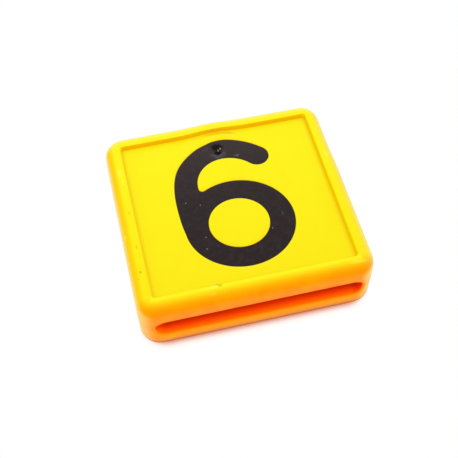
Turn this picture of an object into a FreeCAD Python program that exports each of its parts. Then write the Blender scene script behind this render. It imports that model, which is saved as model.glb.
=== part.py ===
import FreeCAD, Part
import math
import os

# Number tag for an animal's collar: a moulded block that threads on the collar's webbing, with a digit
# of a second plastic moulded into its face. Sizes are in millimetres. +X runs along the slot's width,
# +Y up the digit and +Z out of the face. The origin is the middle of the back, which the tag lies on.

# Strap slot, from front to back through the block
strap_width = 40.0
strap_play = 2.2
slot_height = 4.6
mouth_round = 0.45

# Block: what surrounds the slot
side_wall = 2.9
floor_wall = 4.25
roof_wall = 3.25
body_depth = 46.0
corner_round = 4.2
face_edge_round = 2.7
back_edge_round = 2.0

# Mould: the two halves meet at the slot's middle, and the lower one is a little smaller all round
draft = 1.0
parting_step = 0.06

# Panel: the sunk face inside the rim
rim_side = 3.55
rim_end = 3.75
panel_recess = 1.0
panel_corner_round = 0.5
rim_inner_round = 0.35

# Digit: set flush in the panel
digit_width = 22.7
gap_above_digit = 2.15
gap_below_digit = 3.2
digit_thickness = 1.5
stroke = 5.1
crotch_round = 0.75

# The bowl's share of the digit's height, and the strokes that differ from the main one, as shares of it.
# The bowl and the inside of the hook stand a little right of the digit's middle, and the bowl's counter
# stands a little left of it.
bowl_share = 0.65
bar_share = 0.92
stem_share = 0.975
bowl_shift = 0.09
hook_shift = 0.15
cap_share = 1.03

# Gate mark near the digit's top: a round dimple with a broken stub in it
gate_below_top = 2.7
gate_diameter = 2.3
gate_dimple_depth = 0.35
stub_diameter = 0.9
stub_foot_diameter = 1.1
stub_height = 0.2

# Sizes that follow
slot_width = strap_width + strap_play
body_width = slot_width + 2 * side_wall
parting_height = floor_wall + slot_height / 2
panel_height = floor_wall + slot_height + roof_wall
body_height = panel_height + panel_recess
panel_width = body_width - 2 * rim_side
panel_depth = body_depth - 2 * rim_end
digit_top = panel_depth / 2 - gap_above_digit
digit_bottom = gap_below_digit - panel_depth / 2
digit_height = digit_top - digit_bottom
half_digit = digit_width / 2
bowl_rise = bowl_share * digit_height / 2
bowl_middle = digit_bottom + bowl_rise
tip_radius = stroke / 2
hook_radius = half_digit - stem_share * stroke + hook_shift
hook_middle = digit_top - cap_share * stroke - hook_radius

# Share of a wall that a rounded edge may take, and how near counts as the same place when an edge is picked
WALL_SHARE = 0.9
NEAR = 1e-3

# Headings on the digit's outline, in degrees from +X: where the stem leaves the bowl, and where the hook's
# tip starts and points, and the middle of the stem's inner bend. The outline's slopes before and after the
# blunt corner at its peak are a rise over a run.
BOWL_LEFT_AT = 218
TIP_STARTS = 48
TIP_FACES = -40
INNER_BEND_AT = 135
SLOPE_BEFORE_PEAK = 0.34
SLOPE_AFTER_PEAK = 0.08


def vector(x, y, z=0.0):
    return FreeCAD.Vector(x, y, z)


def limited(radius, wall):
    """A fillet's radius, held inside the wall that carries it."""
    return min(radius, WALL_SHARE * wall)


def rounded_rectangle(width, depth, radius, height):
    """Closed outline round the Z axis, at the given height."""
    x = width / 2
    y = depth / 2
    straight_x = x - radius
    straight_y = y - radius
    bend = radius * math.sqrt(0.5)
    edges = []
    for turn in range(4):
        reach, side, run = (x, straight_y, straight_x) if turn % 2 == 0 else (y, straight_x, straight_y)
        line = Part.LineSegment(vector(reach, -side), vector(reach, side))
        arc_middle = vector(run + bend, side + bend)
        arc = Part.Arc(vector(reach, side), arc_middle, vector(run, side + radius))
        for curve in (line, arc):
            edge = curve.toShape()
            edge.rotate(vector(0, 0), vector(0, 0, 1), 90 * turn)
            edge.translate(vector(0, 0, height))
            edges.append(edge)
    return Part.Wire(edges)


def drafted_half(inset, end_height, end_round):
    """One mould half: widest at the parting plane, narrowed by the draft to a rounded edge at its end."""
    taper = abs(end_height - parting_height) * math.tan(math.radians(draft))
    outlines = []
    for shrink, height in ((inset, parting_height), (inset + taper, end_height)):
        width = body_width - 2 * shrink
        depth = body_depth - 2 * shrink
        outlines.append(rounded_rectangle(width, depth, corner_round - shrink, height))
    block = Part.makeLoft(outlines, True, True)
    rim = [edge for edge in block.Edges if is_level(edge, end_height)]
    return block.makeFillet(end_round, rim)


def is_level(edge, height):
    """True for an edge that lies in the level plane of the given height."""
    box = edge.BoundBox
    return abs(box.ZMin - height) < NEAR and abs(box.ZMax - height) < NEAR


def slot_cutter():
    """The strap's way through: a flat bar with full-round sides, longer than the block."""
    radius = slot_height / 2
    straight = slot_width / 2 - radius
    reach = body_depth
    low = parting_height - radius
    high = parting_height + radius
    right_end = vector(slot_width / 2, -reach, parting_height)
    left_end = vector(-slot_width / 2, -reach, parting_height)
    floor = Part.LineSegment(vector(-straight, -reach, low), vector(straight, -reach, low))
    right = Part.Arc(vector(straight, -reach, low), right_end, vector(straight, -reach, high))
    roof = Part.LineSegment(vector(straight, -reach, high), vector(-straight, -reach, high))
    left = Part.Arc(vector(-straight, -reach, high), left_end, vector(-straight, -reach, low))
    outline = Part.Wire([curve.toShape() for curve in (floor, right, roof, left)])
    return Part.Face(outline).extrude(vector(0, 2 * reach, 0))


def slotted(half):
    """A mould half with its part of the slot, whose two mouths have rounded lips."""
    opened = half.cut(slot_cutter())
    lips = [edge for edge in opened.Edges if is_slot_mouth(edge)]
    return opened.makeFillet(limited(mouth_round, min(roof_wall, floor_wall)), lips)


def is_slot_mouth(edge):
    """True for an edge round the slot's mouth on the front or the back, away from the parting plane."""
    box = edge.BoundBox
    across_slot = max(abs(box.XMin), abs(box.XMax)) < slot_width / 2 + NEAR
    off_parting = max(abs(box.ZMin - parting_height), abs(box.ZMax - parting_height))
    on_one_end = min(abs(box.YMin), abs(box.YMax)) > panel_depth / 2 and box.YMin * box.YMax > 0
    return across_slot and on_one_end and NEAR < off_parting < slot_height / 2 + NEAR


def panel_cutter():
    """What is sunk inside the rim."""
    outline = rounded_rectangle(panel_width, panel_depth, panel_corner_round, panel_height)
    return Part.Face(outline).extrude(vector(0, 0, 2 * panel_recess))


def heading(degrees):
    """Unit vector in the panel's plane."""
    return vector(math.cos(math.radians(degrees)), math.sin(math.radians(degrees)))


def glyph_spot(across, up):
    """A place in the digit's own cell: across from -1 to 1, up from 0 at the bottom to 1 at the top."""
    return vector(across * half_digit, digit_bottom + up * digit_height)


def ellipse_face(middle_x, half_width, half_height):
    """A disc or oval at the height of the bowl's middle, whichever way it is longer."""
    across = vector(middle_x + half_width, bowl_middle)
    along = vector(middle_x, bowl_middle + half_height)
    if half_width < half_height:
        across, along = along, vector(middle_x - half_width, bowl_middle)
    oval = Part.Ellipse(across, along, vector(middle_x, bowl_middle))
    return Part.Face(Part.Wire(oval.toShape()))


def hook_face():
    """The digit's stem and hook: a band that leaves the bowl on the left and ends in a round tip."""
    stem, cap, tip_start, tip = outer_hook_line()
    inner_top = vector(hook_shift, hook_middle + hook_radius)
    reach = tip - inner_top
    bend = (reach.x ** 2 + reach.y ** 2 - tip_radius ** 2) / (2 * (tip_radius - reach.y))
    bend_middle = vector(inner_top.x, inner_top.y - bend)
    tip_end = bend_middle + (tip - bend_middle) * (bend / (bend + tip_radius))
    tip_face = tip + tip_radius * heading(TIP_FACES)
    bend_face = bend_middle + bend * ((tip_end - bend_middle) / bend + vector(0, 1)).normalize()
    stem_inside = vector(hook_shift - hook_radius, hook_middle)
    stem_face = vector(hook_shift, hook_middle) + hook_radius * heading(INNER_BEND_AT)
    inside_bowl = vector(stem_inside.x, bowl_middle)
    curves = [stem, cap, Part.Arc(tip_start, tip_face, tip_end), Part.Arc(tip_end, bend_face, inner_top),
              Part.Arc(inner_top, stem_face, stem_inside), Part.LineSegment(stem_inside, inside_bowl),
              Part.LineSegment(inside_bowl, stem.StartPoint)]
    return Part.Face(Part.Wire([curve.toShape() for curve in curves]))


def outer_hook_line():
    """The outer line of the hook, as two curves that meet at its peak, and its tip's start and middle."""
    leaving = heading(BOWL_LEFT_AT)
    start = vector(bowl_shift + half_digit * leaving.x, bowl_middle + bowl_rise * leaving.y)
    start_way = vector(half_digit * leaving.y, -bowl_rise * leaving.x)
    tip = glyph_spot(0.676, 0.816)
    tip_out = heading(TIP_STARTS)
    tip_start = tip + tip_radius * tip_out
    peak = glyph_spot(-0.095, 0.995)
    left_spots = [glyph_spot(-1.0, 0.329), glyph_spot(-1.03, 0.491), glyph_spot(-0.974, 0.706),
                  glyph_spot(-0.807, 0.837), glyph_spot(-0.408, 0.955)]
    stem = Part.BSplineCurve()
    stem.interpolate([start] + left_spots + [peak],
                     InitialTangent=start_way, FinalTangent=vector(1, SLOPE_BEFORE_PEAK))
    cap = Part.BSplineCurve()
    cap.interpolate([peak, glyph_spot(0.06, 0.999), glyph_spot(0.5, 0.954), tip_start],
                    InitialTangent=vector(1, SLOPE_AFTER_PEAK), FinalTangent=vector(tip_out.y, -tip_out.x))
    return stem, cap, tip_start, tip


def digit_blank():
    """The digit's full thickness, with its underside in the panel and its face level with the panel."""
    bowl = digit_layer(ellipse_face(bowl_shift, half_digit, bowl_rise))
    counter = digit_layer(ellipse_face(-bowl_shift, half_digit - stroke, bowl_rise - bar_share * stroke))
    blank = bowl.fuse(digit_layer(hook_face())).removeSplitter().cut(counter)
    crotch = [edge for edge in blank.Edges if is_crotch(edge)]
    return blank.makeFillet(crotch_round, crotch)


def digit_layer(face):
    """A face of the digit as a solid in its place in the panel."""
    face.translate(vector(0, 0, panel_height - digit_thickness))
    return face.extrude(vector(0, 0, digit_thickness))


def is_crotch(edge):
    """True for the upright edge where the stem's inner line meets the top of the bowl."""
    box = edge.BoundBox
    upright = max(box.XLength, box.YLength) < NEAR
    inside_stem = hook_shift - hook_radius - NEAR < box.XMin < 0 and box.YMin > bowl_middle
    across = (box.XMin - bowl_shift) / half_digit
    up = (box.YMin - bowl_middle) / bowl_rise
    outside_oval = across ** 2 + up ** 2 - 1
    return upright and inside_stem and abs(outside_oval) < NEAR


def gate_mark(digit):
    """The digit with a dimple and a broken stub where the plastic entered its mould."""
    middle_y = digit_top - gate_below_top
    rise = (gate_diameter ** 2 / 4 - gate_dimple_depth ** 2) / (2 * gate_dimple_depth)
    ball = Part.makeSphere(rise + gate_dimple_depth, vector(0, middle_y, panel_height + rise))
    foot = vector(0, middle_y, panel_height - 2 * gate_dimple_depth)
    stub = Part.makeCone(stub_foot_diameter / 2, stub_diameter / 2, gate_dimple_depth + stub_height, foot)
    return digit.cut(ball).fuse(stub).removeSplitter()


def make_body(digit):
    """The block: two mould halves as one piece, with the slot, the sunk panel and the digit's pocket."""
    rim_top = min(rim_side, rim_end) - rim_inner_round
    upper = slotted(drafted_half(0.0, body_height, limited(face_edge_round, rim_top)))
    upper = upper.cut(panel_cutter())
    rim = [edge for edge in upper.Edges if is_rim_inside(edge)]
    upper = upper.makeFillet(limited(rim_inner_round, panel_recess), rim)
    lower = slotted(drafted_half(parting_step, 0.0, limited(back_edge_round, floor_wall)))
    return upper.fuse(lower).removeSplitter().cut(digit)


def is_rim_inside(edge):
    """True for an edge of the rim's top that borders the sunk panel."""
    box = edge.BoundBox
    inside_x = max(abs(box.XMin), abs(box.XMax)) < panel_width / 2 + NEAR
    inside_y = max(abs(box.YMin), abs(box.YMax)) < panel_depth / 2 + NEAR
    return is_level(edge, body_height) and inside_x and inside_y


os.makedirs("parts", exist_ok=True)
digit = digit_blank()
nodes = {"tag_body": make_body(digit), "digit_inlay": gate_mark(digit)}
for name, shape in nodes.items():
    print(name, "solids:", len(shape.Solids), "volume:", round(shape.Volume, 1), "valid:", shape.isValid())
    shape.exportStep("parts/" + name + ".step")
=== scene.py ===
# %% [markdown]
# # A collar number tag in yellow and black plastic
# The real tag is a moulded block about as wide as a matchbox is long. A collar's webbing runs through its
# slot, and a digit of black plastic sits level with the sunk yellow face. This lesson rebuilds both
# mouldings as clean meshes on top of the imported model, gives them their plastics, and sets up the studio.

# %% [markdown]
# ## Start from the imported model
# The imported model is the ruler for everything below: each new mesh takes the place of one of its nodes.
# All lengths in the cells are written in millimetres, as on a drawing, and turned into Blender's metres
# only when a mesh or the camera is made.

# %% Load the frame
import math

import bmesh
import bpy
import numpy as np
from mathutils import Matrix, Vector, noise
from mathutils.geometry import delaunay_2d_cdt


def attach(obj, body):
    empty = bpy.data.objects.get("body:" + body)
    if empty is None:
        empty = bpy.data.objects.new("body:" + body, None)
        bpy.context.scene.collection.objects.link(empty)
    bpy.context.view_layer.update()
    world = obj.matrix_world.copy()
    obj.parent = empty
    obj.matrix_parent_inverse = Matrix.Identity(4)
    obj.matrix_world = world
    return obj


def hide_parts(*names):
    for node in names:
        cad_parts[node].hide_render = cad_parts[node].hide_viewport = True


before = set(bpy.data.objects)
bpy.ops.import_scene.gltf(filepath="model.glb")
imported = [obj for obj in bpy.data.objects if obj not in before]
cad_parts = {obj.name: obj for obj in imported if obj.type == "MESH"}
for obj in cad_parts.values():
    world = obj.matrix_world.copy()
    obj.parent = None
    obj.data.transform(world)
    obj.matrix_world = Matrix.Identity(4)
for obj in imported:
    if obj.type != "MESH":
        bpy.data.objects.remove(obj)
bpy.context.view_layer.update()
MM = 0.001

# %% [markdown]
# ## The camera
# The camera stands in front of the tag, a little to its left, and looks down at about 55 degrees. Place and
# turn come from fitting the block's outline, so they are typed in as numbers. A Track To constraint would
# be shorter, but it can't hold the slight roll of a hand-held picture.

# %% Place the camera
CAMERA_PLACE = (-24.51, -107.12, 157.92)
CAMERA_TURN = (34.805, 0.415, -13.496)

camera_data = bpy.data.cameras.new("photo_camera")
camera_data.sensor_width = 36.0
camera_data.lens = 69.45
camera_data.shift_x = -0.0117
camera_data.shift_y = 0.0145
camera_data.clip_start = 0.01
camera = bpy.data.objects.new("photo_camera", camera_data)
camera.location = [MM * value for value in CAMERA_PLACE]
camera.rotation_euler = [math.radians(value) for value in CAMERA_TURN]
bpy.context.scene.collection.objects.link(camera)
bpy.context.scene.camera = camera
print("camera looks down from", CAMERA_PLACE[2], "mm above the floor")

# %% [markdown]
# ## The block's wall, level by level
# A moulded block is a stack of rounded rectangles: each height has its own width, depth and corner radius.
# A cube with a Bevel modifier would give equal steps everywhere, but here the face has a wide roll, the
# back a narrower one, and both halves lean in by one degree so that they leave the mould. So each level is
# written as one ring of points, and every ring has the same count of points, in the same order, to let them
# join into quads. The order starts in the middle of the front left corner, which makes the slot's mouth
# easy to find.

# %% One ring of points
SLOT_STEPS = 22
FLANK_STEPS = 22
CORNER_STEPS = 12
block_half = (24.0, 23.0)
corner_round = 4.2
slot_flat = 18.8
block_straight_x = block_half[0] - corner_round

over_slot = np.linspace(-1, 1, SLOT_STEPS + 1) * slot_flat / block_straight_x
front_shares = np.concatenate([[-1], over_slot, [1]])
flank_shares = np.linspace(-1, 1, FLANK_STEPS + 1)
corner_turns = np.radians(np.linspace(0, 90, CORNER_STEPS + 1))[1:-1]


def level_ring(half_x, half_y, radius, z):
    """Points round the block at one height, anticlockwise from the middle of its front left corner."""
    x, y = half_x - radius, half_y - radius
    sides = [np.column_stack([x * front_shares, np.full(len(front_shares), -half_y)]),
             np.column_stack([np.full(len(flank_shares), half_x), y * flank_shares])]
    sides += [-side for side in sides]
    middles = [(x, -y), (x, y), (-x, y), (-x, -y)]
    ring = []
    for quarter, (side, middle) in enumerate(zip(sides, middles)):
        turns = corner_turns + math.radians(90 * (quarter - 1))
        ring += [side, np.column_stack([np.cos(turns), np.sin(turns)]) * radius + middle]
    ring = np.concatenate(ring)
    ring = np.roll(ring, CORNER_STEPS // 2, axis=0)
    return np.column_stack([ring, np.full(len(ring), z)])


print("points in a ring:", len(level_ring(*block_half, corner_round, 0.0)))

# %% [markdown]
# ## The sizes of the moulding
# These repeat the drawing: the height of the parting line, where the two mould halves met, the wide roll
# round the face, the narrow one round the back, and the rim with its sunk panel. They are typed in and not
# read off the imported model's box, because the slot cuts away the very place where the front and the back
# are widest.

# %% Sizes and the two walls
block_top = 13.1
parting = 6.55
draft_turn = 1.0
draft = math.tan(math.radians(draft_turn))
parting_step = 0.06
face_roll = 2.7
back_roll = 2.0
rim = (3.55, 3.75)
rim_lip = 0.35
panel_corner = 0.5
panel_level = 12.1
pocket_level = 10.6
block_straight_y = block_half[1] - corner_round
ROLL_STEPS = 10


def wall_inset(z):
    """How far the leaning wall stands inside the block's widest outline."""
    return np.where(z < parting, parting_step, 0.0) + draft * np.abs(z - parting)


def wall_ring(inset, z):
    """The block's outline at one height, moved inwards by the inset."""
    return level_ring(block_half[0] - inset, block_half[1] - inset, corner_round - inset, z)


def roll_rings(radius, level, up):
    """The quarter-round that turns the leaning wall into a flat face at the given level."""
    middle = level - up * radius
    centre = wall_inset(middle) + radius
    return [wall_ring(centre - radius * math.cos(turn), middle + up * radius * math.sin(turn))
            for turn in np.radians(np.linspace(draft_turn, 90, ROLL_STEPS + 1))]


print("face rolls from", round(block_top - face_roll, 2), "mm up, back rolls up to", back_roll, "mm")

# %% [markdown]
# ## Stack the rings
# From the flat back upwards: the back's roll, the wall with its parting line, the face's roll, the rim, its
# rounded inner lip and the short wall down to the panel. The parting line is two rings almost on top of
# each other with a small step between them, as on the real tag, where a finger nail can feel it.

# %% The stack
LIP_STEPS = 5
WINDOW_LEVELS = [2.9, 4.0, 5.2, parting - parting_step / 2, parting + parting_step / 2, 7.9, 9.0, 9.9]


def rim_ring(out, z):
    """A ring of the rim's inner side, so far out from the panel's edge."""
    return level_ring(block_half[0] - rim[0] + out, block_half[1] - rim[1] + out, panel_corner + out, z)


rings = roll_rings(back_roll, 0.0, -1)[::-1]
window_start = len(rings)
rings += [wall_ring(wall_inset(z), z) for z in WINDOW_LEVELS]
rings += roll_rings(face_roll, block_top, 1)
for turn in np.radians(np.linspace(90, 0, LIP_STEPS + 1)):
    out, down = rim_lip - rim_lip * math.cos(turn), rim_lip - rim_lip * math.sin(turn)
    rings.append(rim_ring(out, block_top - down))
rings.append(rim_ring(0.0, panel_level))
rings = np.array(rings)
COLUMNS = len(front_shares) - 1 + CORNER_STEPS
ROWS = len(WINDOW_LEVELS) - 1
HALF_TURN = rings.shape[1] // 2
print("rings:", len(rings), "points:", rings.shape[0] * rings.shape[1])

# %% [markdown]
# ## The mouths of the slot
# The collar slides over the edges of the slot, so they are rounded, also where the slot's round ends cut
# into the block's round corners. A Boolean with a Bevel on top breaks up exactly there. Instead the fillet
# is worked out point by point: walk round the slot's outline, look at how the wall falls away there, and
# fit the one circle that touches both. A window of quads is left out of the wall, and rows of quads join it
# to the fillet. Round each end of the slot the points fan out, and the window's own side takes the middle
# of that fan.

# %% The slot's outline and its fillet
slot_rise = 2.3
mouth_round = 0.45
FILLET_STEPS = 6
FIT_ROUNDS = 8
WINDOW_TURN = 42


def slot_outline():
    """Middles and headings that give the slot's outline, one for each point round the window."""
    levels = np.array(WINDOW_LEVELS)
    end_turn = WINDOW_TURN * (levels - parting) / (parting - levels[0])
    flat = front_shares[1:-1] * block_straight_x
    fan = CORNER_STEPS // 2 + 1
    low_fan = np.linspace(-90, end_turn[0], fan + 1)[1:]
    high_fan = np.linspace(end_turn[-1], 90, fan + 1)[:-1]
    right_middles = np.full(2 * fan + len(levels) - 2, slot_flat)
    right_turns = np.concatenate([low_fan, end_turn[1:-1], high_fan])
    middles = np.concatenate([flat, right_middles, flat[::-1], -right_middles])
    down, up = np.full(len(flat), -90.0), np.full(len(flat), 90.0)
    turns = np.concatenate([down, right_turns, up, 180 - right_turns[::-1]])
    return np.roll(middles, fan), np.radians(np.roll(turns, fan))


def wall_depth(x, z):
    """How far the front wall stands out from the block's middle."""
    radius = corner_round - wall_inset(z)
    beyond = np.clip(np.abs(x) - block_straight_x, 0, 0.999 * radius)
    return block_straight_y + np.sqrt(radius ** 2 - beyond ** 2)


def fillet_loops():
    """Loops of points from the wall over the rounded lip into the slot."""
    middles, turns = slot_outline()
    heading = np.column_stack([np.cos(turns), np.sin(turns)])
    outline = np.column_stack([middles, np.full(len(middles), parting)]) + slot_rise * heading
    reach = np.full(len(outline), mouth_round)
    probe = 0.01
    for _ in range(FIT_ROUNDS):
        spot = outline + reach[:, None] * heading
        depth = wall_depth(*spot.T)
        fall = (depth - wall_depth(*(spot + probe * heading).T)) / probe
        slant = np.sqrt(1 + fall ** 2)
        reach = mouth_round * (1 + fall / slant)
    loops = []
    for share in np.linspace(0, 1, FILLET_STEPS + 1):
        angle = (1 - share) * np.arctan2(1, fall) + share * math.pi
        out = mouth_round * (1 + np.cos(angle))
        place = outline + out[:, None] * heading
        y = -(depth - mouth_round / slant + mouth_round * np.sin(angle))
        loops.append(np.column_stack([place[:, 0], y, place[:, 1]]))
    return loops


print("points round a mouth:", len(fillet_loops()[0]))

# %% [markdown]
# ## Rows between the window and the lip
# The wall is flat in front and round at its corners. Unrolled like the label of a tin it is flat
# everywhere, so the rows are spaced on the unrolled wall and rolled up again. That keeps every point on the
# true surface.

# %% Unroll, space, roll up
WALL_ROWS = 3


def unroll(points):
    """Points of the front wall as they lie on the flattened wall."""
    x, z = points[:, 0], points[:, 2]
    beyond = np.clip(np.abs(x) - block_straight_x, 0, None) / (corner_round - wall_inset(z))
    along = np.minimum(np.abs(x), block_straight_x) + corner_round * np.arcsin(np.minimum(beyond, 1))
    return np.column_stack([np.sign(x) * along, z])


def roll_up(flat):
    """Points of the flattened wall back on the round one."""
    along, z = np.abs(flat[:, 0]), flat[:, 1]
    turn = np.clip(along - block_straight_x, 0, None) / corner_round
    radius = corner_round - wall_inset(z)
    x = np.minimum(along, block_straight_x) + radius * np.sin(turn)
    return np.column_stack([np.sign(flat[:, 0]) * x, -block_straight_y - radius * np.cos(turn), z])


def window_places():
    """Row and column of every ring point round the front window, anticlockwise from its lower left."""
    low = [(window_start, c) for c in range(COLUMNS + 1)]
    right = [(window_start + r, COLUMNS) for r in range(1, ROWS)]
    high = [(window_start + ROWS, c) for c in range(COLUMNS, -1, -1)]
    left = [(window_start + r, 0) for r in range(ROWS - 1, 0, -1)]
    return np.array(low + right + high + left)


window = window_places()
fillet = fillet_loops()
outer, inner = unroll(rings[window[:, 0], window[:, 1]]), unroll(fillet[0])
mouth = [roll_up(outer + (inner - outer) * row / (WALL_ROWS + 1)) for row in range(1, WALL_ROWS + 1)]
mouth += fillet
print("loops at a mouth:", len(mouth), "window points:", len(window))

# %% [markdown]
# ## A small workshop for meshes
# Points and faces are collected in one place and turned into a mesh at the end. Patches that share an edge
# repeat its points, and the last step welds them. Two flat faces can't be quads, because a digit is cut out
# of one and is the other, so all flats are filled with triangles, by a function that keeps every outline it
# is given.

# %% Spots inside outlines
def is_inside(spots, loops):
    """True where a spot lies inside an odd number of the loops."""
    odd = np.zeros(len(spots), bool)
    for loop in loops:
        following = np.roll(loop, -1, axis=0)
        for (ax, ay), (bx, by) in zip(loop, following):
            crosses = (ay > spots[:, 1]) != (by > spots[:, 1])
            if ay != by:
                odd ^= crosses & (spots[:, 0] < ax + (bx - ax) * (spots[:, 1] - ay) / (by - ay))
    return odd


def grid_inside(loops, spacing):
    """Spots of a square grid inside the loops, none closer to them than half a step."""
    low, high = loops[0].min(axis=0), loops[0].max(axis=0)
    axes = [np.arange(a + spacing / 2, b, spacing) for a, b in zip(low, high)]
    grid = np.stack(np.meshgrid(*axes), axis=-1).reshape(-1, 2)
    grid = grid[is_inside(grid, loops)]
    border = np.concatenate(loops)
    gaps = np.sqrt(((grid[:, None] - border[None]) ** 2).sum(axis=2)).min(axis=1)
    return grid[gaps > 0.5 * spacing]


print("grid spots in the panel, 2 mm apart:", len(grid_inside([rings[-1][:, :2]], 2.0)))

# %% Collect points, join loops, fill flats
WELD_DISTANCE = 0.002
SHARP_TURN = 35


class Sheet:
    """Points in millimetres and the faces between them."""

    def __init__(self):
        self.points, self.faces, self.count = [], [], 0

    def add(self, points):
        """Keeps the points and gives back their numbers."""
        self.points.append(np.asarray(points, float))
        self.count += len(points)
        return np.arange(self.count - len(points), self.count)

    def join(self, first, second):
        """Quads between two closed loops of equal length."""
        self.faces += list(zip(first, np.roll(first, -1), np.roll(second, -1), second))

    def fill(self, loops, z, spacing, extra=()):
        """Triangles at one level inside the first loop and outside the others, with any extra spots."""
        spots = [loop[:, :2] for loop in loops]
        edges, start = [], 0
        for loop in spots:
            numbers = start + np.arange(len(loop))
            edges += list(zip(numbers.tolist(), np.roll(numbers, -1).tolist()))
            start += len(loop)
        flat = [Vector(spot) for spot in (*np.concatenate(spots), *grid_inside(spots, spacing), *extra)]
        made, _, triangles, *_ = delaunay_2d_cdt(flat, edges, [], 0, 1e-6)
        made = np.array([tuple(spot) for spot in made])
        middles = np.array([made[list(t)].mean(axis=0) for t in triangles])
        kept = is_inside(middles, spots)
        numbers = self.add(np.column_stack([made, np.full(len(made), z)]))
        self.faces += [tuple(numbers[list(t)]) for t, keep in zip(triangles, kept) if keep]

    def to_object(self, name, bend):
        """The points, bent by the given function and welded, as the mesh of a new object."""
        points = bend(np.concatenate(self.points))
        mesh = bpy.data.meshes.new(name)
        mesh.from_pydata((points * MM).tolist(), [], [tuple(int(n) for n in face) for face in self.faces])
        work = bmesh.new()
        work.from_mesh(mesh)
        bmesh.ops.remove_doubles(work, verts=work.verts, dist=WELD_DISTANCE * MM)
        bmesh.ops.recalc_face_normals(work, faces=work.faces)
        loose = [vert for vert in work.verts if not vert.link_faces]
        bmesh.ops.delete(work, geom=loose, context="VERTS")
        open_edges = sum(1 for edge in work.edges if not edge.is_manifold)
        work.to_mesh(mesh)
        work.free()
        mesh.shade_smooth()
        mesh.set_sharp_from_angle(angle=math.radians(SHARP_TURN))
        piece = bpy.data.objects.new(name, mesh)
        bpy.context.scene.collection.objects.link(piece)
        print(name, "faces:", len(mesh.polygons), "open edges:", open_edges)
        return piece


print("workshop ready")

# %% [markdown]
# ## The digit's outline
# The digit was drawn once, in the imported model. Its upper face carries the outline, the ring of the bowl's
# counter and the small round of a gate mark, which isn't needed here. Reading the two long edges back keeps
# the pocket, the digit and the solid in step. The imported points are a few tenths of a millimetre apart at
# best, so a smooth curve is laid through all of them and sampled finely, which leaves no corners in a close
# view.

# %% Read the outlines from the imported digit
def level_loops(mesh, level):
    """Closed outlines of the mesh's faces that lie flat at one level, longest first."""
    keys = [tuple(np.round(np.array(vert.co) / MM, 4)) for vert in mesh.vertices]
    sides = []
    for face in mesh.polygons:
        corners = [keys[v] for v in face.vertices]
        if all(abs(corner[2] - level) < WELD_DISTANCE for corner in corners):
            sides += zip(corners, corners[1:] + corners[:1])
    known = set(sides)
    following = {a: b for a, b in sides if (b, a) not in known}
    loops = []
    while following:
        start = next(iter(following))
        loop = [start]
        while (step := following.pop(loop[-1])) != start:
            loop.append(step)
        loops.append(np.array(loop)[:, :2])
    return sorted(loops, key=lambda loop: -loop_length(loop))


def loop_length(loop):
    """The length of a closed outline."""
    return np.linalg.norm(np.roll(loop, -1, axis=0) - loop, axis=1).sum()


packed_loops = level_loops(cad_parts["digit_inlay"].data, panel_level)[:2]
print("packed outlines, mm:", [round(loop_length(loop), 1) for loop in packed_loops])

# %% Smooth them and space their points
OUTLINE_SPACING = 0.3
SPLINE_STEPS = 24


def resampled(loop, spacing):
    """The loop as a smooth closed curve through its points, sampled at an even spacing."""
    before, after, beyond = [np.roll(loop, steps, axis=0) for steps in (1, -1, -2)]
    spans = ((before, loop), (loop, after), (after, beyond))
    first, middle, last = [np.sqrt(np.linalg.norm(b - a, axis=1))[:, None] for a, b in spans]
    leave = middle * ((loop - before) / first - (after - before) / (first + middle)
                      + (after - loop) / middle)
    arrive = middle * ((after - loop) / middle - (beyond - loop) / (middle + last)
                       + (beyond - after) / last)
    fine = []
    for share in np.linspace(0, 1, SPLINE_STEPS, endpoint=False):
        s2, s3 = share ** 2, share ** 3
        fine.append((2 * s3 - 3 * s2 + 1) * loop + (s3 - 2 * s2 + share) * leave
                    + (3 * s2 - 2 * s3) * after + (s3 - s2) * arrive)
    fine = np.stack(fine, axis=1).reshape(-1, 2)
    closed = np.vstack([fine, fine[:1]])
    walked = np.concatenate([[0], np.cumsum(np.linalg.norm(np.diff(closed, axis=0), axis=1))])
    stops = np.linspace(0, walked[-1], max(8, round(walked[-1] / spacing)), endpoint=False)
    return np.column_stack([np.interp(stops, walked, closed[:, axis]) for axis in (0, 1)])


def shifted(loop, distance):
    """The loop moved to its left by a small distance."""
    way = np.roll(loop, -1, axis=0) - np.roll(loop, 1, axis=0)
    way /= np.linalg.norm(way, axis=1)[:, None]
    return loop + distance * np.column_stack([-way[:, 1], way[:, 0]])


digit_loops = [resampled(loop, OUTLINE_SPACING) for loop in packed_loops]
print("smoothed outlines, mm:", [round(loop_length(loop), 1) for loop in digit_loops])

# %% [markdown]
# ## Pour the yellow block
# Now the pieces come together: the stack of rings with two windows left open, the two mouths, the tube of
# the slot between them, the flat back, and the panel with its pocket. The block is the same from the front
# and from the back, so the second mouth is the first one turned by half a turn. The pocket and the digit
# share their outline and their walls. Both end in a fine round, one that rolls outwards and one that rolls
# inwards, so that a hair line shows between the two plastics.

# %% Wall, mouths and slot
TUBE_STEPS = 14


def wall_of_rings(sheet):
    """The stack of rings with its two windows left open, and the numbers of its points."""
    numbers = np.array([sheet.add(ring) for ring in rings])
    following = np.roll(numbers, -1, axis=1)
    for row in range(len(rings) - 1):
        in_window = window_start <= row < window_start + ROWS
        for column in range(rings.shape[1]):
            if not (in_window and column % HALF_TURN < COLUMNS):
                sheet.faces.append((numbers[row, column], following[row, column],
                                    following[row + 1, column], numbers[row + 1, column]))
    return numbers


def mouth_and_lip(sheet, numbers, half_turns):
    """Rows from the window to the slot's edge, and the numbers of the last loop."""
    last = numbers[window[:, 0], (window[:, 1] + half_turns * HALF_TURN) % rings.shape[1]]
    sign = np.array([1 - 2 * half_turns, 1 - 2 * half_turns, 1])
    for loop in mouth:
        new = sheet.add(loop * sign)
        sheet.join(last, new)
        last = new
    return last


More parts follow.
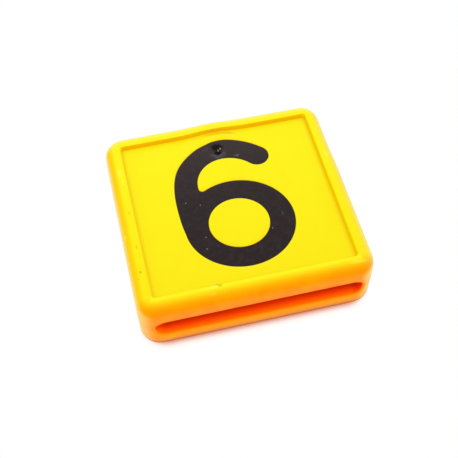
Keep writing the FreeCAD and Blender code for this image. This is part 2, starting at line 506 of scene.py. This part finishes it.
def slot_tube(sheet, front, back):
    """The slot's own surface from the front mouth to the back one."""
    mirrored = back[(COLUMNS - np.arange(len(back))) % len(back)]
    points = np.concatenate(sheet.points)
    last = front
    for share in np.linspace(0, 1, TUBE_STEPS + 1)[1:-1]:
        new = sheet.add(points[front] * (1 - share) + points[mirrored] * share)
        sheet.join(last, new)
        last = new
    sheet.join(last, mirrored)


print("rows along the slot:", TUBE_STEPS)

# %% Pocket and digit
FINE_ROUND = 0.07
FINE_TURNS = np.radians([0, 30, 60, 90])
FLOOR_SPACING = 2.0


def flat_outline(sheet, loop, z):
    """Adds a flat outline at one height."""
    return sheet.add(np.column_stack([loop, np.full(len(loop), z)]))


def digit_walls(sheet, inwards):
    """Floor and walls along the digit's outline, and the outline that its fine round ends in.

    The round rolls inwards on the digit, where inwards is 1, and outwards on its pocket, where it is -1.
    """
    for loop in digit_loops:
        last = flat_outline(sheet, loop, pocket_level)
        for turn in FINE_TURNS:
            ring = shifted(loop, inwards * FINE_ROUND * (1 - math.cos(turn)))
            new = flat_outline(sheet, ring, panel_level - FINE_ROUND * (1 - math.sin(turn)))
            sheet.join(last, new)
            last = new
    sheet.fill(digit_loops, pocket_level, FLOOR_SPACING)
    return [shifted(loop, inwards * FINE_ROUND) for loop in digit_loops]


print("fine round along the digit:", FINE_ROUND, "mm")

# %% [markdown]
# ## How the block cooled
# No moulding comes out straight. Behind the gate, the plastic that was packed in last pushed the upper back
# edge out. The rest of the back shrank by a few tenths of a millimetre, and the upper right side drew in. A
# Lattice could bend the block, but moves this small, which change with the height, are easier to read as a
# function of each point's place.

# %% Build the yellow body
BULGE_REACH = 4.2
PANEL_SPACING = 0.9
panel_end = block_half[1] - rim[1]


def smooth(values, low, high):
    """0 below low and 1 above high, with an S between them."""
    share = np.clip((values - low) / (high - low), 0, 1)
    return share * share * (3 - 2 * share)


def cooled(points):
    """The block's points as cooling left them."""
    x, y, z = points.T
    outward = np.clip((y - panel_end) / rim[1], 0, 1)
    bulge = np.exp(-(x / BULGE_REACH) ** 2) * smooth(z, 8.2, 9.8)
    pushed, shrunk = 0.55 - 0.25 * outward, 0.2 + 0.1 * outward
    back = smooth(y, 17.3, 19.2) * (pushed * bulge - shrunk)
    right = -0.2 * smooth(y, 3, 12) * smooth(x, 21, 23) * smooth(z, 8, 10)
    return np.column_stack([x + right, y + back, z])


body_sheet = Sheet()
ring_numbers = wall_of_rings(body_sheet)
front_edge = mouth_and_lip(body_sheet, ring_numbers, 0)
back_edge = mouth_and_lip(body_sheet, ring_numbers, 1)
slot_tube(body_sheet, front_edge, back_edge)
pocket_edge = digit_walls(body_sheet, -1)
body_sheet.fill([rings[0]], 0.0, FLOOR_SPACING)
body_sheet.fill([rings[-1]] + pocket_edge, panel_level, PANEL_SPACING)
body = body_sheet.to_object("tag_body_shell", cooled)

# %% [markdown]
# ## Pour the black digit
# The digit is a plate as thick as its pocket is deep, with the fine round along its upper edge. Near its
# top the plastic ran in through a gate, and tearing the gate off left two ragged pits, one above the other,
# with two small nubs between them. A Displace modifier would need a dense mesh all over, so rings of extra
# points are added round the gate alone. There the pits sink, each with a low burr round it, and the nubs
# rise.

# %% Build the digit
GATE = np.array([0.0, 14.4])
PITS = (((-0.18, 15.15), (0.75, 0.62)), ((-0.28, 13.67), (0.55, 0.33)))
NUBS = ((0.43, 14.67), (-0.09, 14.25))
DIGIT_SPACING = 0.8
GATE_REACH = 1.9
RING_GAP = 0.11
GAP_ALONG_RING = 0.13
pit_depth = 0.35
burr_height = 0.03
nub_height = 0.3
nub_radius = 0.17


def spots_round(middle):
    """Rings of spots round a place, about as close along a ring as from one ring to the next."""
    spots = []
    for radius in np.arange(0.1, GATE_REACH, RING_GAP):
        count = round(6 + 2 * math.pi * radius / GAP_ALONG_RING)
        for turn in np.linspace(0, 2 * math.pi, count, endpoint=False):
            spots.append(middle + radius * np.array([math.cos(turn), math.sin(turn)]))
    return spots


def torn(points):
    """The digit's points with the pits sunk and the nubs raised in its face."""
    bent = points.copy()
    face = points[:, 2] > panel_level - 0.01
    x, y = points[face, :2].T
    ragged = 0.5 * np.array([noise.noise(Vector((1.6 * a, 1.6 * b, 1.7))) for a, b in zip(x, y)])
    for (pit_x, pit_y), (wide, high) in PITS:
        reach = np.hypot((x + ragged - pit_x) / wide, (y - ragged - pit_y) / high)
        burr = burr_height * np.exp(-((reach - 1.3) / 0.25) ** 2)
        bent[face, 2] += burr - pit_depth * np.exp(-reach ** 4)
    for nub_x, nub_y in NUBS:
        bent[face, 2] += nub_height * np.exp(-(np.hypot(x - nub_x, y - nub_y) / nub_radius) ** 2)
    return bent


digit_sheet = Sheet()
face_edge = digit_walls(digit_sheet, 1)
digit_sheet.fill(face_edge, panel_level, DIGIT_SPACING, spots_round(GATE))
digit = digit_sheet.to_object("digit_inlay_plate", torn)

# %% [markdown]
# ## Even shading over uneven faces
# Long quads beside narrow ones make a smooth-shaded edge look pillowy. More quads would cure that slowly.
# The Weighted Normal modifier does it at once: it lets the large faces decide the direction, so flats look
# flat and the rolls stay round.

# %% Weighted normals
for piece in (body, digit):
    weigh = piece.modifiers.new("even_shading", "WEIGHTED_NORMAL")
    weigh.keep_sharp = True
    weigh.weight = 100
print("weighted:", body.name, digit.name)

# %% [markdown]
# ## Shader sums as Python
# A procedural plastic is mostly small sums on masks. Written node by node they are hard to read, so one
# class wraps an output socket and lets Python's operators add the Math nodes. Every other node comes from
# its one method node, which takes a node's type, its settings, such as a ramp's stops, and what its sockets
# get.

# %% The socket class
class Wire:
    """An output socket of a material, to be written in sums."""

    def __init__(self, socket):
        self.socket = socket

    @classmethod
    def node(cls, tree, kind, settings=None, sockets=None, out=0):
        """Adds a node, applies its settings, fills its sockets and gives the chosen output."""
        made = tree.nodes.new(kind)
        for name, value in (settings or {}).items():
            if name == "stops":
                ramp_stops(made.color_ramp, value)
            else:
                setattr(made, name, value)
        for name, value in (sockets or {}).items():
            if isinstance(value, cls):
                tree.links.new(value.socket, made.inputs[name])
            else:
                made.inputs[name].default_value = value
        return cls(made.outputs[out])

    def math(self, operation, *others, clamp=False):
        """Adds a Math node for this value and the others."""
        settings = {"operation": operation, "use_clamp": clamp}
        return Wire.node(self.socket.id_data, "ShaderNodeMath", settings, dict(enumerate((self, *others))))

    def __add__(self, other):
        return self.math("ADD", other)

    def __sub__(self, other):
        return self.math("SUBTRACT", other)

    def __rsub__(self, other):
        return (self * -1).math("ADD", other)

    def __mul__(self, other):
        return self.math("MULTIPLY", other)

    def __truediv__(self, other):
        return self.math("DIVIDE", other)

    def __pow__(self, other):
        return self.math("POWER", other)

    def __abs__(self):
        return self.math("ABSOLUTE")

    def clamped(self):
        """The value held between 0 and 1."""
        return self.math("ADD", 0.0, clamp=True)

    __radd__ = __add__
    __rmul__ = __mul__


def ramp_stops(ramp, stops):
    """Sets a colour ramp's stops from pairs of place and colour."""
    while len(ramp.elements) < len(stops):
        ramp.elements.new(1.0)
    for element, (place, colour) in zip(ramp.elements, stops):
        element.position = place
        element.color = colour


print("socket class ready")

# %% A material and what feeds it
def plastic(name, **constants):
    """A new material and its Principled shader, with what is the same all over it."""
    material = bpy.data.materials.new(name)
    material.use_nodes = True
    shader = material.node_tree.nodes["Principled BSDF"]
    for socket, value in constants.items():
        shader.inputs[socket.replace("_", " ")].default_value = value
    return material, material.node_tree, shader


def feed(shader, sockets):
    """Links values to a shader's sockets by name."""
    for name, wire in sockets.items():
        shader.id_data.links.new(wire.socket, shader.inputs[name])


print("materials so far:", len(bpy.data.materials))

# %% [markdown]
# ## Masks by place
# Plastic shows where it is on the part: the slot is darker and redder than the face, the walls look deeper
# in colour, and a nick sits at one spot. A painted texture would need an unwrapped mesh and a picture file.
# Masks worked out from the object's own coordinates in millimetres, and from the direction its surface
# faces, need neither, and they stay put from every side.

# %% Places on the part
def place_on_part(tree):
    """The place in millimetres, its three values, and three for the direction that the surface faces."""
    place = Wire.node(tree, "ShaderNodeTexCoord", out="Object")
    place = Wire.node(tree, "ShaderNodeVectorMath", {"operation": "SCALE"}, {0: place, "Scale": 1 / MM})
    facing = Wire.node(tree, "ShaderNodeTexCoord", out="Normal")
    apart = [[Wire.node(tree, "ShaderNodeSeparateXYZ", None, {0: vector}, axis) for axis in "XYZ"]
             for vector in (place, facing)]
    return place, *apart


def between(value, low, high):
    """A mask: 0 at low and 1 at high, whichever is larger, and straight between them."""
    return ((value - low) / (high - low)).clamped()


def tones(value, stops):
    """The colour that a ramp gives for a value between 0 and 1."""
    stops = [(at, (*colour, 1.0)) for at, colour in stops]
    return Wire.node(value.socket.id_data, "ShaderNodeValToRGB", {"stops": stops}, {"Fac": value}, "Color")


def shares(value, stops):
    """As tones, for a plain number."""
    return tones(value, [(at, (share, share, share)) for at, share in stops])


def blended(share, low, high):
    """One colour turning into another as the share goes from 0 to 1."""
    low, high = [colour if isinstance(colour, Wire) else (*colour, 1.0) for colour in (low, high)]
    sockets = {0: share, 6: low, 7: high}
    return Wire.node(share.socket.id_data, "ShaderNodeMix", {"data_type": "RGBA"}, sockets, 2)


def patches(place, scale, detail=2.0):
    """Cloudy noise from 0 to 1, with the given number of patches in a millimetre."""
    return Wire.node(place.socket.id_data, "ShaderNodeTexNoise", None,
                     {"Vector": place, "Scale": scale, "Detail": detail}, "Fac")


def grainy(place, scale, strength, height):
    """The normal of a face with a fine grain of the given height."""
    sockets = {"Strength": strength, "Distance": height * MM, "Height": patches(place, scale, 4.0)}
    return Wire.node(place.socket.id_data, "ShaderNodeBump", None, sockets)


def spot(axes, middle, radii, soft=0.3):
    """1 inside a small oval on the face, fading to 0 beyond its border."""
    across, up = [(axis - centre) / radius for axis, centre, radius in zip(axes, middle, radii)]
    return between((across ** 2 + up ** 2) ** 0.5, 1 + soft, 1)


print("masks ready")

# %% [markdown]
# ## The yellow by direction
# Each side of the yellow gets its own tone, and the differences are painted shade and painted light: lemon
# on top, a little deeper toward the front, a warmer yellow on the sides, orange on the front wall, and pale
# on the far wall, which faces the bright sweep. The upright sides, the right one most, are paled toward
# white, a painted reflection of the white room. Subsurface scattering could warm the shade of this not
# quite opaque plastic by itself, but it is slow and noisy, and an exported model loses it. So each
# direction gets its own ramp, and the ramps are laid over each other.

# %% Face and sides
yellow, tree, shader = plastic("body_plastic_yellow", Specular_IOR_Level=0.02, Coat_Roughness=0.3,
                               Emission_Strength=1.0)
place, (x, y, z), (looks_right, looks_back, looks_up) = place_on_part(tree)
# Painted shade: the face deepens a little toward the front.
lemon = blended(between(y, -20.0, 20.0), (0.955, 0.8, 0.0), (0.955, 0.895, 0.004))
# Painted shade and painted reflection: the sides are warmer, and the upright ones, the right one most, are
# paled toward white.
side_shade_tone = tones(looks_up, [
    (0.0, (0.96, 0.68, 0.06)), (0.2, (0.95, 0.68, 0.06)), (0.37, (0.93, 0.68, 0.05)),
    (0.5, (0.92, 0.65, 0.015)), (0.66, (0.93, 0.6, 0.003)), (0.8, (0.95, 0.61, 0.0))])
side_shade_tone = blended(between(looks_right, 0.2, 0.6) * 0.7, side_shade_tone, (0.9, 0.8, 0.04))
side_shade_share = shares(abs(looks_right), [
    (0.25, 0.0), (0.35, 0.1), (0.45, 0.45), (0.55, 0.72), (0.7, 0.95), (0.8, 1.0)])
skin_and_painted_light = blended(side_shade_share, lemon, side_shade_tone)
print("face and sides, nodes:", len(tree.nodes))

# %% [markdown]
# ## The wall toward the reader
# The orange of this wall is painted shade, at its deepest where the wall stands upright and fading through
# the roll above it. It is weaker round the upright corners, painted light where side light gets in. A
# straight blend by direction would fade at the wrong place on the roll, so a ramp of shares shapes it.

# %% Front wall and far wall
toward_reader = (looks_back * -1).clamped()
# Painted shade: the front wall is orange, less so round the upright corners, which side light reaches.
front_shade_tone = tones(toward_reader, [
    (0.7, (1.0, 0.31, 0.0)), (0.88, (1.0, 0.295, 0.0)), (1.0, (1.0, 0.29, 0.004))])
front_shade_share = shares(toward_reader, [
    (0.0, 0.0), (0.15, 0.22), (0.35, 0.55), (0.55, 0.82), (0.75, 0.98), (0.85, 1.0)])
lean = abs(looks_right + 0.12)
corner = between(lean, 0.24, 0.85) * between(looks_up, 0.5, 0.2)
skin_and_painted_light = blended(front_shade_share * (1 - corner * 0.63), skin_and_painted_light, front_shade_tone)
# Painted light: the far wall, which faces the bright sweep, is paled.
skin_and_painted_light = blended(looks_back.clamped(), skin_and_painted_light, (0.97, 0.9, 0.02))
print("front wall and far wall, nodes:", len(tree.nodes))

# %% [markdown]
# ## Inside the rim
# The rim's inner walls throw yellow light at each other and look warmer than the panel between them, all
# but the near one, which faces the sweep. They tint the panel's left and right borders, and its near border
# stays brighter. More bounces give part of that, and these layers paint in the rest: painted shade on the
# inner walls and the panel's left and right borders, painted light on the near wall and the near border.

# %% Inner walls and the panel's borders
RECESS_X, RECESS_Y, RECESS_FADE = 21.2, 20.3, 0.3
recess = between(abs(x), RECESS_X, RECESS_X - RECESS_FADE)
recess = recess * between(abs(y), RECESS_Y, RECESS_Y - RECESS_FADE) * between(z, 11.5, 11.9)
nearly_flat = between(looks_up, 0.7, 0.95)
# Painted shade on the rim's inner walls, and painted light on the near one, which faces the sweep.
inner_wall_shade_tone = tones(looks_right * 0.5 + 0.5, [
    (0.0, (0.9, 0.62, 0.0)), (0.3, (0.9, 0.6, 0.0)), (0.5, (0.92, 0.475, 0.0)),
    (0.7, (0.94, 0.64, 0.004)), (1.0, (0.94, 0.69, 0.008))])
inner_wall_shade_tone = blended(looks_back.clamped(), inner_wall_shade_tone, (0.97, 0.93, 0.006))
skin_and_painted_light = blended(recess * between(looks_up, 0.995, 0.75), skin_and_painted_light, inner_wall_shade_tone)
# Painted shade along the panel's left and right borders, painted light along its near border.
panel = recess * between(z, 12.25, 12.15) * between(looks_up, 0.8, 0.95)
skin_and_painted_light = blended(panel * between(abs(x), 19.7, 20.45) * 0.35, skin_and_painted_light, (0.85, 0.55, 0.0))
skin_and_painted_light = blended(recess * between(y, -18.7, -19.5) * nearly_flat * 0.6, skin_and_painted_light, (0.98, 0.93, 0.01))
print("inside the rim, nodes:", len(tree.nodes))

# %% [markdown]
# ## Inside the slot
# In the slot, light goes from yellow to yellow and loses its green on the way, so the lips are orange and
# the depth is red, and a ramp paints this shade into the colour. It reads how far inward a point lies, and
# a point under the roof or at the right end counts as lying deeper. Light also comes through the plastic,
# most of all at the right end, where only a thin wall is left. A faint Emission Color, a painted glow,
# stands in for it, and is black everywhere else.

# %% How far into the slot
MOUTH_FRONT, MOUTH_BACK = -22.95, 22.65
depth = (y - MOUTH_FRONT).math("MINIMUM", MOUTH_BACK - y)
past_flat = (abs(x) - slot_flat).math("MAXIMUM", 0.0) * 1.07
from_axis = (past_flat ** 2 + (z - parting) ** 2) ** 0.5
in_mouth = between(from_axis, 2.8, 2.5) * between(depth, 0.0, 0.3)
outside_mouth = 1 - in_mouth
shaded = (between(z, 5.2, 8.0) + between(looks_right, -0.2, -0.8)) * between(depth, 0.1, 1.3)
low_end = between(z, 6.2, 5.0) * between(looks_right, -0.1, -0.5) * between(depth, 1.2, 0.4)
inward = depth + shaded * 1.5 + low_end * 0.6 - between(looks_right, 0.1, 0.6) * 0.35
print("slot's measures, nodes:", len(tree.nodes))

# %% The slot's painted red shade and its painted glow
BLACK = (0.0, 0.0, 0.0)
# Painted shade: orange at the lips, deep red inside.
slot_shade_tone = tones(between(inward, 0.4, 3.0), [
    (0.0, (1.0, 0.32, 0.002)), (0.19, (1.0, 0.235, 0.0)), (0.385, (1.0, 0.155, 0.0)),
    (0.6, (0.96, 0.088, 0.0)), (0.81, (0.82, 0.053, 0.0)), (1.0, (0.72, 0.038, 0.0))])
skin_and_painted_light = blended(in_mouth, skin_and_painted_light, slot_shade_tone)
# Painted glow in Emission Color, for light through the slot's walls.
thin_end = between(looks_right, -0.3, -0.9)
through = blended(between(inward - thin_end * 0.9, 2.7, 1.1), (0.03, 0.001, 0.0), (0.27, 0.002, 0.0))
lit = in_mouth * (1 - thin_end * between(depth, 1.4, 0.4) * 0.7)
through = blended(lit, BLACK, through)
feed(shader, {"Emission Color": through})
print("slot, nodes:", len(tree.nodes))

# %% [markdown]
# ## Round the slot and down to the table
# Over the slot the wall is a deeper orange, painted shade, because the slot takes light away from it, and
# under the slot it is paler, painted light, because the sheet lights it. Close to the table the sheet's
# light is painted onto the wall as a white wash, and the roll under it is painted brown, as shade in the
# narrow gap. Each is a thin layer of colour over its own mask, which is easier to tune than lamps, and an
# export keeps it.

# %% Painted shade and light: brow, sill, wash and foot
# Painted light: the sheet's white washed onto the wall near the table.
table_light_wash = between(z, 3.4, 1.2) * between(looks_up, 0.3, 0.1) * outside_mouth
skin_and_painted_light = blended(table_light_wash * (between(lean, 0.12, 0.7) * 0.25 + 0.12), skin_and_painted_light, (0.95, 0.66, 0.5))
# Painted shade over the slot, and painted light under it.
brow_shade = between(from_axis, 3.5, 2.8) * between(z, 7.6, 8.6) * toward_reader * outside_mouth
skin_and_painted_light = blended(brow_shade * 0.5, skin_and_painted_light, (1.0, 0.18, 0.004))
sill = between(from_axis, 4.4, 3.2) * between(z, 5.6, 4.4) * toward_reader * outside_mouth
skin_and_painted_light = blended(sill * 0.6, skin_and_painted_light, (1.0, 0.4, 0.0))
# Painted shade: the roll at the foot, in the narrow gap over the table, is brown.
foot = between(looks_up, 0.0, -0.3) * between(looks_up, -0.99, -0.95) * between(z, 2.5, 1.8)
foot = foot.math("MAXIMUM", between(z, 2.6, 1.9) * 0.35) * between(toward_reader, -0.2, 0.8)
foot_shade_tone = blended(between(looks_up, -0.35, -0.75), (0.29, 0.09, 0.025), (0.62, 0.17, 0.02))
skin_and_painted_light = blended(foot, skin_and_painted_light, foot_shade_tone)
print("wall and foot, nodes:", len(tree.nodes))

# %% [markdown]
# ## Marks of moulding on the yellow, painted as light and shade
# Where the bulge behind the gate pushed the rim out, it left a crescent ledge at the panel's far border,
# painted as a light line, a painted highlight, with a thin painted shadow in front of it. The seam of the
# two mould halves runs round the walls and has a small notch at the right corner, and both are painted as
# shade. All of them are under a tenth of a millimetre high. The seam's step is in the mesh but too low to
# catch much light, and ledge and notch would need very small faces, so all three get a tone.

# %% Ledge, seam and notch
ledge = y - 19.64 + x ** 2 * 0.047
near_ledge = between(x, -2.6, -1.0) * between(x, 5.2, 3.6) * recess * nearly_flat
# Painted shadow and painted highlight of the crescent ledge.
skin_and_painted_light = blended(near_ledge * between(abs(ledge + 0.5), 0.5, 0.1) * 0.75, skin_and_painted_light, (0.9, 0.58, 0.002))
skin_and_painted_light = blended(near_ledge * between(abs(ledge), 0.24, 0.08), skin_and_painted_light, (1.0, 0.8, 0.03))
# Painted shade along the seam's step.
seam = between(abs(z - parting), 0.2, 0.07) * outside_mouth
skin_and_painted_light = blended(seam * (toward_reader * 0.4 + 0.4), skin_and_painted_light, (0.55, 0.25, 0.03))
# Painted shade in the notch.
notch = spot((x, z), (22.4, 6.8), (0.12, 0.5), 0.8) * between(looks_back, -0.3, -0.6)
skin_and_painted_light = blended(notch * 0.4, skin_and_painted_light, (0.45, 0.3, 0.06))
print("marks of moulding, nodes:", len(tree.nodes))

# %% [markdown]
# ## Wear and painted highlights on the yellow
# The tag has been handled: its rim has a few dark nicks and is rubbed pale in places, and some of the pale
# places are painted highlight. Noise would spread such marks evenly, which wear never does, so each one is
# typed in with its middle, its two radii and its strength. Only a cloudy, barely visible change of tone
# comes from noise.

# %% Nicks, rubs and painted highlights, and clouds
NICKS = ((-7.47, -19.6, 0.2, 0.12, 0.8), (-7.8, -18.75, 0.14, 0.1, 0.45), (-21.8, -13.0, 0.1, 0.14, 0.7),
         (-21.5, -7.1, 0.08, 0.25, 0.35), (-21.5, 1.5, 0.08, 0.2, 0.3), (-22.4, -14.4, 0.08, 0.08, 0.35))
# Pale places: partly rubbed wear, partly painted highlight.
PALE_RUBS_AND_HIGHLIGHTS = ((-8.9, -19.75, 0.6, 0.13, 0.45), (-9.1, -21.2, 0.3, 0.1, 0.15), (20.2, -20.65, 0.8, 0.15, 0.3),
        (-21.8, 12.4, 0.15, 0.5, 0.6), (-21.4, 9.7, 0.13, 0.45, 0.45), (-23.3, -3.7, 0.1, 0.25, 0.45),
        (21.9, 7.3, 0.15, 0.45, 0.45))


def marks(axes, table):
    """Small ovals on the face, each with its middle, its radii and its strength."""
    return sum(spot(axes, (across, up), (wide, high), 2.0) * strength
               for across, up, wide, high, strength in table)


on_face = between(z, 11.2, 11.8)
skin_and_painted_light = blended(on_face * marks((x, y), NICKS), skin_and_painted_light, (0.5, 0.4, 0.0))
skin_and_painted_light = blended(on_face * marks((x, y), PALE_RUBS_AND_HIGHLIGHTS), skin_and_painted_light, (1.0, 0.96, 0.1))
mottle = patches(place, 0.3, 3.0)
clouds = between(mottle, 0.4, 0.7) * outside_mouth * (1 - foot)
skin_and_painted_light = blended(clouds * 0.12, skin_and_painted_light, (1.0, 0.7, 0.0))
print("nicks:", len(NICKS), "rubs:", len(PALE_RUBS_AND_HIGHLIGHTS))

# %% [markdown]
# ## Gloss and grain of the yellow
# The plastic is satin as moulded. It mirrors the room most on its side walls, its far wall and its lower
# corners, a little on its face, and not at all in the slot and on the rim's inner walls. Roughness alone
# can't take a mirror image away, so the base has almost no specular and the Coat Weight says where it
# shines. A cloudy roughness and a fine grain in a Bump node break the image up.

# %% Coat, roughness and grain
dry = between(toward_reader, 0.1, 0.5).math("MAXIMUM", between(looks_right, -0.35, -0.55))
gloss = (1 - dry) * 0.2 + between(toward_reader, 0.85, 1.0) * 0.3
gloss = gloss + between(abs(looks_right), 0.7, 0.95) * 0.9 + between(looks_right, 0.3, 0.65) * 0.6
gloss = gloss + between(looks_back, 0.05, 0.2) * 0.75
gloss = gloss + between(looks_up, 0.4, 0.1) * between(lean, 0.18, 0.6) * 0.9
gloss = gloss.clamped() * outside_mouth * (1 - recess * between(looks_up, 0.99, 0.93))
feed(shader, {"Base Color": skin_and_painted_light, "Coat Weight": gloss, "Roughness": mottle * 0.12 + 0.38,
              "Normal": grainy(place, 3.0, 0.25, 0.02)})
body.data.materials.append(yellow)
print("yellow nodes:", len(tree.nodes))

# %% [markdown]
# ## The black plastic
# The digit is a warm, satin black. It gets a little greyer toward its far end, a painted reflection of
# the bright sweep, and it wears a cloudy haze. A black of one tone would look like a hole in the yellow, so
# a ramp along the digit carries the change, and noise lays the haze over it.

# %% Mix the black
black, tree, shader = plastic("digit_plastic_black", Specular_IOR_Level=0.02, Coat_Roughness=0.4)
place, (x, y, z), _ = place_on_part(tree)
# Painted reflection: the black greys toward its far end, which mirrors the bright sweep.
black_and_painted_light = tones(between(y, -15.0, 16.0), [(0.0, (0.016, 0.007, 0.007)), (0.5, (0.02, 0.0115, 0.0115)),
                                       (0.8, (0.028, 0.017, 0.017)), (1.0, (0.038, 0.025, 0.023))])
haze = patches(place, 1.2, 5.0)
black_and_painted_light = blended(between(haze, 0.45, 0.75) * 0.3, black_and_painted_light, (0.045, 0.035, 0.042))
print("black, nodes:", len(tree.nodes))

# %% [markdown]
# ## The torn gate and the dust
# Round the lower pit a broad, ragged band of grey is a painted sheen. The pits themselves are painted
# darker, as shade, and have no shine, and the two torn nubs get a painted highlight. A neat oval would look
# stamped, so noise pushes each mask's border about. Specks of dust and two scratches are typed in, as dust
# is never evenly spread.

# %% Painted sheen, pit shade and nub highlights, and dust
DUST = ((3.6, 11.9), (-7.5, -7.35), (-7.9, -10.15), (6.1, -8.3), (-6.9, 0.8), (-9.7, 2.0))
SPECK_RADII = (0.07, 0.07)
NUB_HIGHLIGHT_RADII = (0.09, 0.12)
NUB_HIGHLIGHT_SHARES = (1.0, 0.6)
sheen_middle_x, sheen_middle_y = PITS[1][0]

ragged = patches(place, 2.2, 4.0) * 1.3 - 0.65
from_pit = ((x - sheen_middle_x) ** 2 + (y - sheen_middle_y) ** 2) ** 0.5
# Painted sheen: a broad grey band round the lower pit.
grey_sheen = between(from_pit, 0.65, 0.95) * between(from_pit, 2.0, 1.2) * between(y, 14.1, 13.4)
grey_sheen = grey_sheen + spot((x, y), (-2.7, 15.2), (0.5, 0.4), 0.9) * 0.3
black_and_painted_light = blended(grey_sheen * between(ragged, -0.3, 0.12) * 0.8, black_and_painted_light, (0.1, 0.085, 0.095))
# Painted shade in the pits.
pits = sum(spot((x + ragged, y - ragged * 0.7), middle, radii, 1.1) for middle, radii in PITS).clamped()
black_and_painted_light = blended(pits * 0.9, black_and_painted_light, (0.012, 0.008, 0.009))
# Painted highlight on the torn nubs.
torn_tip = (x + ragged * 0.2, y + 0.1)
nubs = sum(spot(torn_tip, nub, NUB_HIGHLIGHT_RADII, 0.9) * share for nub, share in zip(NUBS, NUB_HIGHLIGHT_SHARES))
black_and_painted_light = blended(nubs, black_and_painted_light, (0.45, 0.43, 0.38))
dust = sum(spot((x, y), speck, SPECK_RADII, 1.0) for speck in DUST)
scratch = spot((x, y), (3.5, 12.1), (0.45, 0.06), 0.9) + spot((x, y), (9.0, -5.2), (0.05, 0.4), 0.9) * 0.6
black_and_painted_light = blended((dust + scratch * 0.35).clamped(), black_and_painted_light, (0.3, 0.29, 0.26))
feed(shader, {"Base Color": black_and_painted_light, "Coat Weight": (1 - pits) * 0.3, "Roughness": haze * 0.2 + 0.36,
              "Normal": grainy(place, 2.2, 0.3, 0.03)})
digit.data.materials.append(black)
print("black nodes:", len(tree.nodes))

# %% [markdown]
# ## The studio
# The tag lies on a white sheet in a room that is white all round. Area lamps would be the usual choice, but
# each lays a shadow with a direction, and under an even sky only the soft shadow at the foot is left. Red
# light needs many bounces to get out of the slot again, so their number is raised.

# %% Sky and sheet
FLOOR_HALF = 3.0
SKY_STRENGTH = 1.04
BOUNCES = 40
WHITE = (1.0, 1.0, 1.0)

world = bpy.data.worlds.new("studio_air")
world.use_nodes = True
bpy.context.scene.world = world
sky = world.node_tree.nodes["Background"]
sky.inputs["Color"].default_value = (*WHITE, 1.0)
sky.inputs["Strength"].default_value = SKY_STRENGTH
bpy.context.scene.cycles.diffuse_bounces = BOUNCES
bpy.context.scene.cycles.max_bounces = BOUNCES
bpy.context.scene.view_settings.view_transform = "Standard"

corners = [(FLOOR_HALF * across, FLOOR_HALF * along, 0.0)
           for across, along in ((-1, -1), (1, -1), (1, 1), (-1, 1))]
floor_mesh = bpy.data.meshes.new("studio_floor")
floor_mesh.from_pydata(corners, [], [(0, 1, 2, 3)])
floor = bpy.data.objects.new("studio_floor", floor_mesh)
bpy.context.scene.collection.objects.link(floor)
print("sky strength:", SKY_STRENGTH, "bounces:", BOUNCES)

# %% [markdown]
# ## The paper
# The sheet looks whiter to the camera than to the tag. Stronger light would bleach the tag as well, so only
# camera rays see the glow, a second Principled shader that is all emission. It starts past the dim line
# where the block meets the sheet, so that the contact shadow stays. In front of the block the start of the
# glow is painted pink, for light that went through the plastic and falls there, and for the same light the
# paper's own colour is painted warm close by.

# %% Paper and glow
foot_half = (22.5, 22.1)

paper, tree, shader = plastic("studio_paper", Roughness=0.9, Specular_IOR_Level=0.0)
place, (x, y, z), _ = place_on_part(tree)
past_side, past_front = [(abs(axis) - (half - corner_round)).math("MAXIMUM", 0.0)
                         for axis, half in zip((x, y), foot_half)]
outside = (past_side ** 2 + past_front ** 2) ** 0.5 - corner_round
# Painted bounce light: the paper is warm close to the block.
sheet_bounce_tone = tones(between(outside, 0.0, 4.0), [
    (0.0, (1.0, 0.66, 0.48)), (0.3, (1.0, 0.78, 0.71)), (1.0, (1.0, 0.93, 0.89))])
feed(shader, {"Base Color": sheet_bounce_tone})
# The glow's start is painted pink in front of the block, for light from the plastic.
glow_with_pink_bounce = tones(between(outside, 0.0, 2.0), [
    (0.0, (1.0, 0.5, 0.36)), (0.08, (1.0, 0.56, 0.44)), (0.17, (1.0, 0.68, 0.6)), (0.36, (1.0, 0.8, 0.75)),
    (0.55, (1.0, 0.87, 0.82)), (0.74, (1.0, 0.94, 0.89)), (1.0, WHITE)])
glow_with_pink_bounce = blended(between(y, -16.0, -20.0), WHITE, glow_with_pink_bounce)
glow = Wire.node(tree, "ShaderNodeBsdfPrincipled", None, {
    "Base Color": (*BLACK, 1.0), "Specular IOR Level": 0.0,
    "Emission Color": glow_with_pink_bounce, "Emission Strength": 1.0})
seen = Wire.node(tree, "ShaderNodeLightPath", out="Is Camera Ray")
surface = Wire.node(tree, "ShaderNodeMixShader", None, {
    0: seen * between(outside, -0.1, 1.2), 1: Wire(shader.outputs[0]), 2: glow})
feed(tree.nodes["Material Output"], {"Surface": surface})
floor_mesh.materials.append(paper)
print("paper nodes:", len(tree.nodes))

# %% [markdown]
# ## Put the new meshes in place
# Each mesh rides on the model's one body and stands in for its imported node, which is hidden, so the
# dressed tag can lie wherever the imported one does.

# %% Ride and replace
for piece, node, slot_name in ((body, "tag_body", "body_plastic"), (digit, "digit_inlay", "digit_plastic")):
    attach(piece, "root")
    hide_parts(node)
